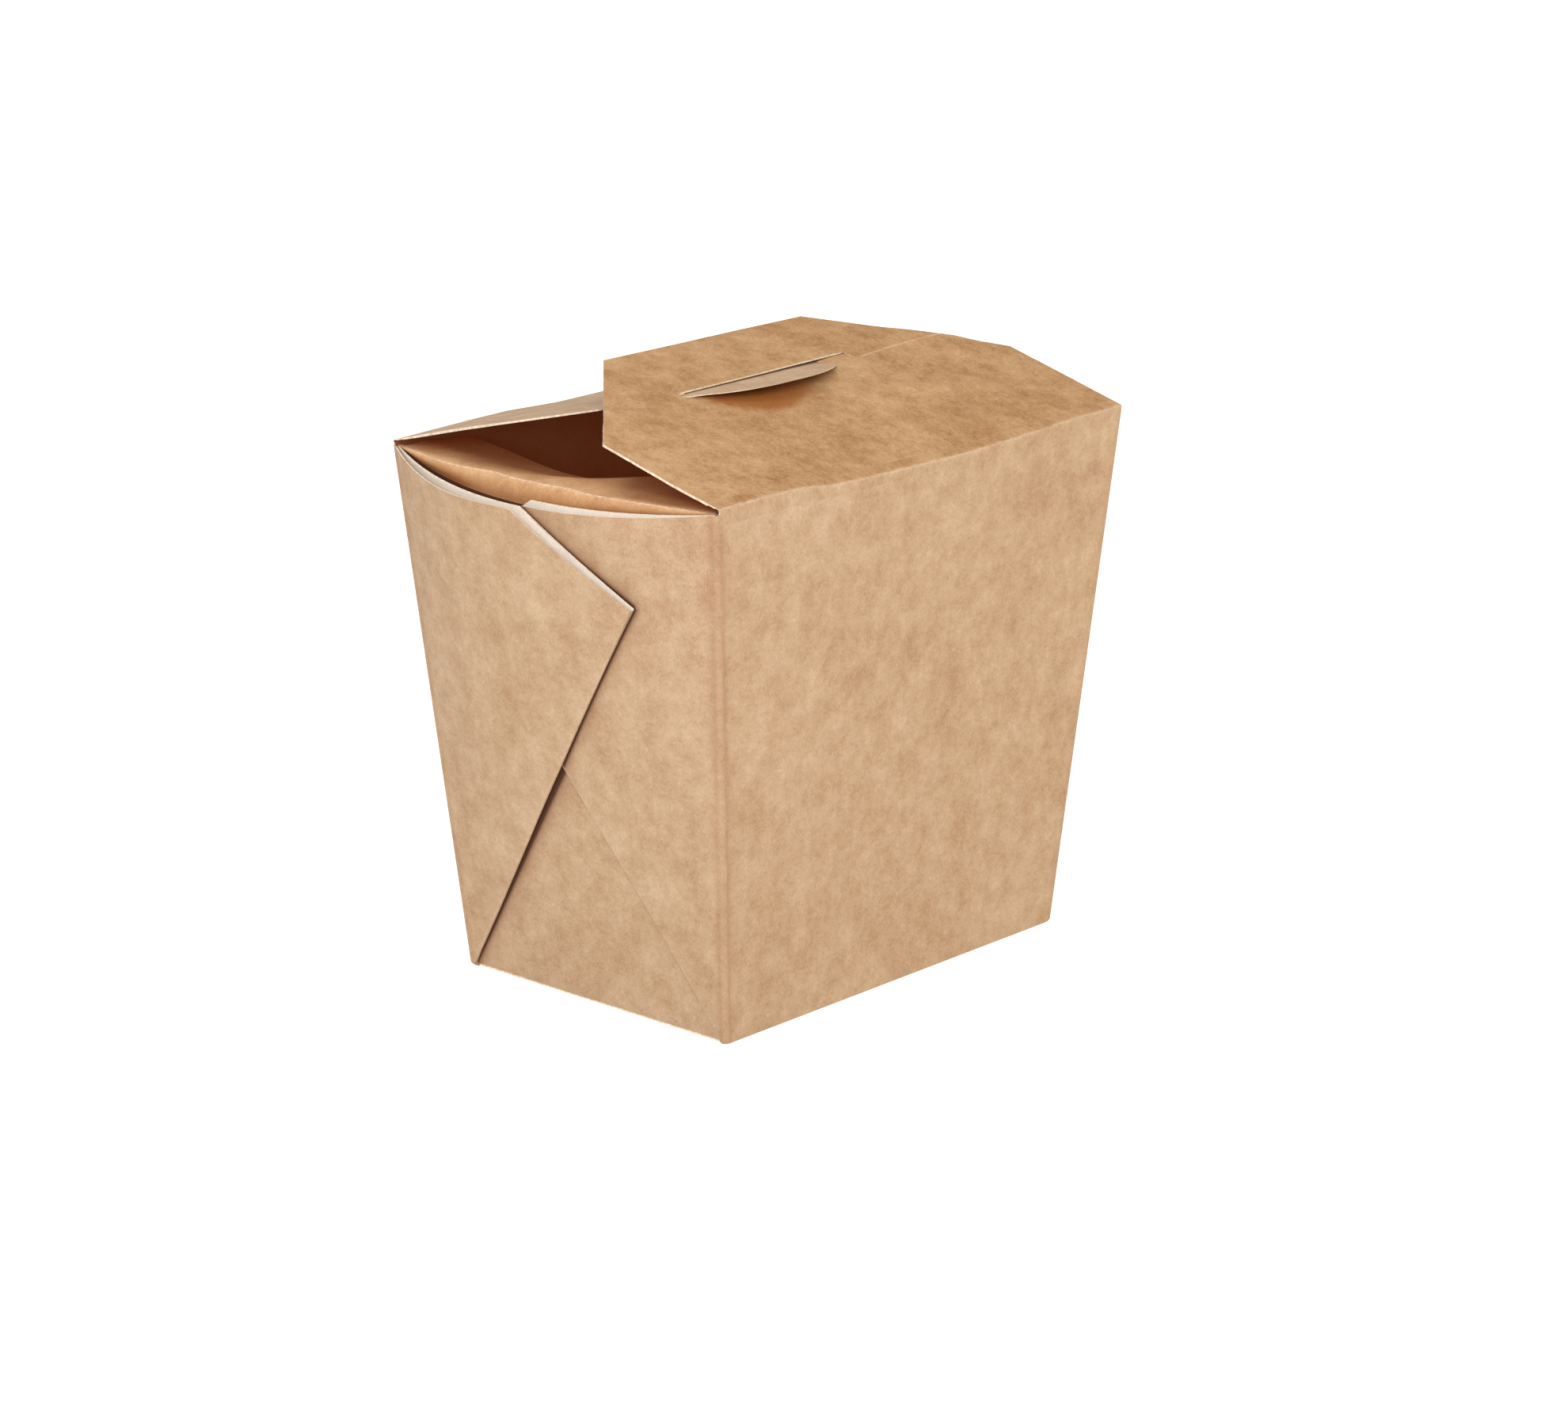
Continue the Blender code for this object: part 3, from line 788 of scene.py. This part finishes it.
def front_panel(materials):
    """The front lid panel with its slot."""
    sheet = Sheet()
    hinge = fold_columns()
    cuts = np.array([SLOT_LEFT, SLOT_NARROW_FROM, SLOT_RIGHT, SLOT_RIGHT + LEG_WIDTH])
    calm = hinge[np.min(np.abs(hinge[:, None] - cuts[None, :]), axis=1) > 0.45 * MM]
    xs = np.sort(np.concatenate([calm, cuts]))
    close = np.array([SLOT_NEAR, SLOT_NARROW, SLOT_FAR, LEG_END])
    fine = np.arange(CLOSE_FROM, CLOSE_TO, CLOSE_STEP)
    fine = fine[np.min(np.abs(fine[:, None] - close[None, :]), axis=1) > 0.1 * MM]
    straight = STRIP_REACH + (FRONT_STRAIGHT - STRIP_REACH) * graded(20, 0.3)
    before = np.linspace(FRONT_STRAIGHT, fine[0], 8)[1:-1]
    beyond = fine[-1] + (FRONT_REACH - fine[-1]) * graded(14, 0.3)[1:]
    vs = np.sort(np.concatenate([straight, before, fine, close, beyond]))
    score_x, score_v = zip(*SCORE_LINE)
    grid, flat, wear, shade = [], [], [], []
    for u in vs:
        taper = max(0.0, u - FRONT_STRAIGHT) / (FRONT_REACH - FRONT_STRAIGHT)
        half = LID_HALF + (FRONT_END_HALF - LID_HALF) * taper
        line_points, places, worn, dark = [], [], [], []
        for x in xs:
            place = x
            if abs(x) > TAPER_FROM:
                outer = (abs(x) - TAPER_FROM) * (half - TAPER_FROM) / (LID_HALF - TAPER_FROM)
                place = math.copysign(TAPER_FROM + outer, x)
            if abs(x) > LID_HALF - 0.1 * MM:
                place += 0.12 * MM * wave(u, x, 1.1 * MM, 4.0)
            v = u + slot_shift(place, u)
            point = lid_place(-1, front_line, place, v)
            line_points.append((point[0], point[1], point[2] + lip_lift(place, u)))
            places.append((place, 0.11 + v))
            from_score = (v / MM - float(np.interp(place, score_x, score_v))) / 0.22
            lit = 0.55 * math.exp(-(from_score**2)) * float(smooth((place - score_x[0]) / MM))
            lit *= float(smooth((0.050 - place) / 0.006))
            on_lip = -1e-6 < u - SLOT_FAR < LIP_PALE and SLOT_LEFT < place < SLOT_RIGHT
            worn.append(2.0 * (1 - (u - SLOT_FAR) / LIP_PALE) if on_lip else lit)
            dark.append(under_tongue(place, v) if u < SLOT_FAR - 1e-6 else 0.0)
        grid.append(line_points)
        flat.append(places)
        wear.append(worn)
        shade.append(dark)
    keep = np.ones((len(vs) - 1, len(xs) - 1), bool)
    for i in range(len(vs) - 1):
        for j in range(len(xs) - 1):
            u, x = (vs[i] + vs[i + 1]) / 2, (xs[j] + xs[j + 1]) / 2
            lip = SLOT_NEAR if x < SLOT_NARROW_FROM else SLOT_NARROW
            if SLOT_LEFT < x < SLOT_RIGHT + LEG_WIDTH and lip < u < SLOT_FAR:
                keep[i, j] = False
            if SLOT_RIGHT < x < SLOT_RIGHT + LEG_WIDTH and LEG_END < u < SLOT_FAR:
                keep[i, j] = False
    sheet.add(*[np.array(rows_of) for rows_of in (grid, flat, wear, shade)], keep=keep)
    return sheet.build("front_panel", "lid_front", materials)


def tongue_sides(v):
    """Left and right edge of the tongue at v: an ellipse, with a hook at the slot's left end."""
    rise = (v - TONGUE_MIDDLE) / TONGUE_DEPTH
    half = TONGUE_HALF * math.sqrt(max(0.0, 1.0 - rise * rise))
    half = max(half, 1.2 * MM)
    left = TONGUE_CENTRE_X - half
    if v < HOOK_START:
        left = NECK_LEFT
    elif v < HOOK_END:
        share = (v - HOOK_START) / (HOOK_END - HOOK_START)
        left += (NECK_LEFT - left) * (1 - share) - HOOK_REACH * math.sin(math.pi * share**0.8)
    rough = 0.06 * MM * wave(v, left, 0.9 * MM, 5.0)
    return left + rough, TONGUE_CENTRE_X + half + rough


def back_panel(materials):
    """The back lid panel and its tongue."""
    sheet = Sheet()
    hinge = fold_columns()
    low, high = tongue_sides(BACK_SHOULDER)
    middle = low + (high - low) * graded(44, 0.5)
    xs = np.concatenate([hinge[hinge < low - 0.7 * MM], middle, hinge[hinge > high + 0.7 * MM]])
    shares = (xs - low) / (high - low)
    end = TONGUE_MIDDLE + TONGUE_DEPTH
    straight = STRIP_REACH + (BACK_STRAIGHT - STRIP_REACH) * graded(26, 0.3)
    neck = np.linspace(BACK_SHOULDER, HOOK_END, 14)
    tongue = HOOK_END + (end - HOOK_END) * np.sin(np.linspace(0, math.pi / 2, 24))
    vs = np.concatenate([straight, neck, tongue[1:]])
    grid, flat, wear = [], [], []
    for v in vs:
        # Painted sheen: the whole back panel is made evenly paler
        wear.append([BACK_SHEEN] * len(xs))
        shoulder = min(1.0, max(0.0, (v - BACK_STRAIGHT) / (BACK_SHOULDER - BACK_STRAIGHT)))
        half = LID_HALF + (BACK_SHOULDER_HALF - LID_HALF) * shoulder
        left, right = tongue_sides(max(v, BACK_SHOULDER))
        line_points, places = [], []
        for x, share in zip(xs, shares):
            if share < 0.0:
                nick = 0.10 * MM * wave(v, 0.0, 1.3 * MM, 2.0) * (x < -LID_HALF + 0.1 * MM)
                place = left + (low - x) / (low + LID_HALF) * (-half - left) + nick
            elif share > 1.0:
                place = right + (x - high) / (LID_HALF - high) * (half - right)
            else:
                place = left + (right - left) * share
            line_points.append(lid_place(1, back_line, place, v))
            places.append((place, 0.11 + v))
        grid.append(line_points)
        flat.append(places)
    keep = np.ones((len(vs) - 1, len(xs) - 1), bool)
    for j in range(len(xs) - 1):
        if not low <= (xs[j] + xs[j + 1]) / 2 <= high:
            keep[vs[:-1] >= BACK_SHOULDER - 1e-6, j] = False
    sheet.add(np.array(grid), np.array(flat), np.array(wear), keep=keep, flip=True)
    return sheet.build("back_panel", "lid_back", materials)


# Materials


class Nodes:
    """Short calls for a material's node tree."""

    def __init__(self, material):
        self.tree = material.node_tree
        self.shader = self.tree.nodes["Principled BSDF"]

    def new(self, kind, **settings):
        node = self.tree.nodes.new(kind)
        for key, value in settings.items():
            setattr(node, key, value)
        return node

    def join(self, output, socket):
        self.tree.links.new(output, socket)

    def value(self, operation, first, second, clamp=False):
        node = self.new("ShaderNodeMath", operation=operation, use_clamp=clamp)
        for socket, given in zip(node.inputs, (first, second)):
            if isinstance(given, (int, float)):
                socket.default_value = given
            else:
                self.join(given, socket)
        return node.outputs[0]

    def attribute(self, name, output):
        return self.new("ShaderNodeAttribute", attribute_name=name).outputs[output]

    def spread(self, vector, scale, shift=(0.0, 0.0, 0.0)):
        node = self.new("ShaderNodeMapping")
        node.inputs["Scale"].default_value = scale
        node.inputs["Location"].default_value = shift
        self.join(vector, node.inputs["Vector"])
        return node.outputs[0]

    def noise(self, vector, detail=2.0, rough=0.5):
        node = self.new("ShaderNodeTexNoise")
        node.inputs["Scale"].default_value = 1.0
        node.inputs["Detail"].default_value = detail
        node.inputs["Roughness"].default_value = rough
        self.join(vector, node.inputs["Vector"])
        return node.outputs["Fac"]

    def range(self, value, low, high, to_low=0.0, to_high=1.0):
        node = self.new("ShaderNodeMapRange", clamp=True)
        for name, given in (("From Min", low), ("From Max", high), ("To Min", to_low), ("To Max", to_high)):
            node.inputs[name].default_value = given
        self.join(value, node.inputs["Value"])
        return node.outputs[0]

    def fade(self, distance, reach, strength):
        """The strength at distance 0, dying away over the reach."""
        share = self.value("EXPONENT", self.value("DIVIDE", distance, -reach), 0.0)
        return self.value("MULTIPLY", share, strength, clamp=True)

    def mix(self, factor, first, second):
        node = self.new("ShaderNodeMix", data_type="RGBA")
        for name, kind, given in (("Factor", "VALUE", factor), ("A", "RGBA", first), ("B", "RGBA", second)):
            socket = [s for s in node.inputs if s.name == name and s.type == kind][0]
            if isinstance(given, (int, float)):
                socket.default_value = given
            elif isinstance(given, tuple):
                socket.default_value = (*given, 1.0)
            else:
                self.join(given, socket)
        return [s for s in node.outputs if s.type == "RGBA"][0]


def new_material(name):
    material = bpy.data.materials.new(name)
    material.use_nodes = True
    return material


def scaled(colour, factors):
    return tuple(c * f for c, f in zip(colour, factors))


def kraft(name, base, shift=0.0, contrast=1.0, tint=SHADE_TINT, through=0.0, gloss=0.45):
    """Kraft board: clouds from 6 mm down to fine fibres, and sparse flecks.

    Painted brown shade, a painted dark shadow beside the back gusset's edges, pale worn places and painted
    sheen lie where the mesh says. The board's second coordinate runs along the grain.
    """
    material = new_material(name)
    n = Nodes(material)
    board = n.attribute("board", "Vector")
    place = n.spread(board, (1000.0, 1000.0, 1000.0), (shift, shift * 0.37, shift * 0.11))
    clouds = n.noise(n.spread(place, (0.15, 0.13, 1.0)), 6.0, 0.88)
    patches = n.noise(n.spread(place, (0.045, 0.04, 1.0), (7.0, 3.0, 0.0)), 1.0, 0.5)
    fibres = n.noise(n.spread(place, (3.4, 1.8, 1.0), (4.0, 2.0, 0.0)), 3.0, 0.65)
    factor = 0.5
    for texture, strength in ((clouds, 2.3), (patches, 0.4), (fibres, 0.9)):
        part = n.value("MULTIPLY", n.value("SUBTRACT", texture, 0.5), strength)
        factor = n.value("ADD", part, factor)
    dark = scaled(base, [1 - c * contrast for c in KRAFT_CONTRAST])
    light = scaled(base, [1 + c * contrast for c in KRAFT_CONTRAST])
    colour = n.mix(n.range(factor, 0.0, 1.0), dark, light)
    cells = n.new("ShaderNodeTexVoronoi", feature="F1")
    cells.inputs["Scale"].default_value = 1.0
    n.join(n.spread(place, (0.30, 0.17, 1.0)), cells.inputs["Vector"])
    near = n.range(cells.outputs["Distance"], 0.05, 0.03)
    split = n.new("ShaderNodeSeparateColor")
    n.join(cells.outputs["Color"], split.inputs[0])
    rare = n.range(split.outputs[0], 0.95, 0.96)
    fleck = n.value("MULTIPLY", n.value("MULTIPLY", near, rare), 0.5)
    colour = n.mix(fleck, colour, scaled(base, FLECK_TINT))
    # Painted shadow beside the back gusset's edges: a wide brown one, and a close dark one in the gap
    gap = n.value("MAXIMUM", n.attribute("gap", "Fac"), 0.0)
    beside = n.value("ADD", n.attribute("shade", "Fac"), n.fade(gap, HALO_REACH, HALO))
    uneven = n.range(patches, 0.3, 0.7, 0.75, 1.2)
    shade = n.value("MULTIPLY", beside, uneven, clamp=True)
    colour = n.mix(shade, colour, scaled(base, tint))
    colour = n.mix(n.fade(gap, HALO_CORE_REACH, HALO_CORE), colour, scaled(base, GAP_SHADOW_TINT))
    ragged = n.range(n.noise(n.spread(place, (1.4, 1.4, 1.0), (3.0, 5.0, 0.0)), 4.0, 0.7), 0.34, 0.66)
    wear = n.value("MULTIPLY", n.attribute("wear", "Fac"), ragged, clamp=True)
    colour = n.mix(wear, colour, WEAR_AND_SHEEN_KRAFT)
    n.join(colour, n.shader.inputs["Base Color"])
    n.join(n.range(fibres, 0.3, 0.7, 0.84, 0.72), n.shader.inputs["Roughness"])
    n.shader.inputs["Specular IOR Level"].default_value = gloss
    n.shader.inputs["Emission Color"].default_value = THROUGH_BOARD
    n.shader.inputs["Emission Strength"].default_value = through
    relief = n.value("ADD", n.value("MULTIPLY", fibres, 0.5), clouds)
    node = n.new("ShaderNodeBump")
    node.inputs["Strength"].default_value = 0.12
    node.inputs["Distance"].default_value = 0.0003
    n.join(relief, node.inputs["Height"])
    n.join(node.outputs[0], n.shader.inputs["Normal"])
    return material


def liner(name, base, through=0.0):
    """The reverse of the board: an even paper with faint clouds and fibres."""
    material = new_material(name)
    n = Nodes(material)
    place = n.spread(n.attribute("board", "Vector"), (1000.0, 1000.0, 1000.0))
    clouds = n.noise(n.spread(place, (0.12, 0.09, 1.0)), 5.0, 0.8)
    fine = n.noise(n.spread(place, (2.5, 0.8, 1.0)), 3.0, 0.6)
    factor = n.value("ADD", n.value("MULTIPLY", clouds, 0.6), n.value("MULTIPLY", fine, 0.4))
    low, high = scaled(base, (0.92, 0.91, 0.90)), scaled(base, (1.08, 1.09, 1.10))
    n.join(n.mix(n.range(factor, 0.38, 0.62), low, high), n.shader.inputs["Base Color"])
    n.join(n.range(fine, 0.3, 0.7, 0.62, 0.74), n.shader.inputs["Roughness"])
    n.shader.inputs["Specular IOR Level"].default_value = 0.2
    n.shader.inputs["Emission Color"].default_value = THROUGH_BOARD
    n.shader.inputs["Emission Strength"].default_value = through
    return material


def cut_edge(name):
    """The pale fibrous core of the board where it is cut."""
    material = new_material(name)
    n = Nodes(material)
    place = n.spread(n.attribute("board", "Vector"), (1000.0, 1000.0, 1000.0))
    fine = n.noise(n.spread(place, (1.6, 1.6, 1.0)), 4.0, 0.7)
    n.join(n.mix(n.range(fine, 0.35, 0.65), CUT_DARK, CUT_LIGHT), n.shader.inputs["Base Color"])
    n.join(n.range(fine, 0.3, 0.7, 0.8, 0.95), n.shader.inputs["Roughness"])
    return material


# Camera, floor and light


def add_camera():
    data = bpy.data.cameras.new("camera")
    data.lens, data.sensor_width = CAMERA_LENS, CAMERA_SENSOR
    data.clip_start, data.clip_end = 0.05, 50.0
    camera = bpy.data.objects.new("camera", data)
    camera.location = CAMERA_PLACE
    aim = Vector(CAMERA_TARGET) - Vector(CAMERA_PLACE)
    camera.rotation_euler = aim.to_track_quat("-Z", "Y").to_euler()
    bpy.context.scene.collection.objects.link(camera)
    bpy.context.scene.camera = camera


def add_light(name, azimuth, elevation, distance, size, power, colour=(1.0, 1.0, 1.0)):
    """A soft square light that looks at the box from an azimuth, 0 being the front and -90 the left."""
    data = bpy.data.lights.new(name, "AREA")
    data.shape, data.size, data.energy, data.color = "SQUARE", size, power, colour
    a, e = math.radians(azimuth), math.radians(elevation)
    light = bpy.data.objects.new(name, data)
    target = Vector((0.0, 0.0, 0.05))
    away = Vector((math.sin(a) * math.cos(e), -math.cos(a) * math.cos(e), math.sin(e)))
    light.location = target + distance * away
    light.rotation_euler = (target - light.location).to_track_quat("-Z", "Y").to_euler()
    bpy.context.scene.collection.objects.link(light)


def add_floor():
    mesh = bpy.data.meshes.new("floor")
    size = 12.0
    corners = [(-size, -size, 0), (size, -size, 0), (size, size, 0), (-size, size, 0)]
    mesh.from_pydata(corners, [], [(0, 1, 2, 3)])
    floor = bpy.data.objects.new("floor", mesh)
    floor.location.z = -0.0002
    material = new_material("floor")
    n = Nodes(material)
    shade = n.noise(n.spread(n.new("ShaderNodeTexCoord").outputs["Object"], (3.0, 3.0, 3.0)), 2.0)
    n.join(n.mix(shade, (0.58, 0.58, 0.58), (0.62, 0.62, 0.62)), n.shader.inputs["Base Color"])
    n.shader.inputs["Roughness"].default_value = 0.9
    n.shader.inputs["Specular IOR Level"].default_value = 0.0
    n.shader.inputs["Emission Color"].default_value = (1.0, 1.0, 1.0, 1.0)
    n.shader.inputs["Emission Strength"].default_value = FLOOR_GLOW
    mesh.materials.append(material)
    bpy.context.scene.collection.objects.link(floor)


def add_world():
    world = bpy.data.worlds.new("studio")
    world.use_nodes = True
    back = world.node_tree.nodes["Background"]
    back.inputs["Color"].default_value = (1.0, 1.0, 1.0, 1.0)
    back.inputs["Strength"].default_value = SKY
    bpy.context.scene.world = world


def main():
    add_camera()
    add_world()
    add_floor()
    add_light("key", -58, 30, 0.50, 0.30, 1.50, (0.97, 1.0, 1.10))
    add_light("fill", 50, 20, 0.62, 0.40, 1.08, (1.17, 1.0, 0.60))
    add_light("top", 178, 62, 1.0, 0.35, 2.7)
    bpy.context.scene.view_settings.view_transform = "Standard"

    wall_kraft = kraft("kraft_wall", WALL_KRAFT, contrast=1.7)
    # The lid's board is a darker copy of the walls' board, as painted shade
    lid_kraft_shaded = kraft("kraft_lid_shaded", LID_KRAFT_SHADED, shift=40.0, contrast=2.2, tint=LID_TINT, gloss=0.15)
    # The end flaps' board is a brighter copy of the walls' board, as painted light, and has a painted glow
    flap_kraft_lit = kraft("kraft_flap_lit", FLAP_KRAFT_LIT, shift=80.0, contrast=1.8, tint=FLAP_TINT, through=0.05)
    # The inside brown is darkened and reddened as painted shade, and has a painted glow
    inside = liner("kraft_inside_shaded", INSIDE_BROWN_AND_SHADE, through=0.030)
    grey = liner("grey_liner", LINER_GREY)
    edge = cut_edge("cut_edge")
    brown = (wall_kraft, inside, edge)
    lids = (lid_kraft_shaded, inside, edge)
    walls = brown + (wall_kraft, grey, edge)
    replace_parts(long_wall("front", walls), "tub")
    long_wall("back", walls)
    for name, end in (("left_end", -1), ("right_end", 1)):
        end_wall(name, end, brown + (flap_kraft_lit, inside, edge))
    base(brown)
    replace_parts(front_panel(lids), "lid_front")
    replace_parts(back_panel(brown), "lid_back")
    crease_strip("front_crease", -1, front_line, brown + lids)
    crease_strip("back_crease", 1, back_line, brown + brown)


main()
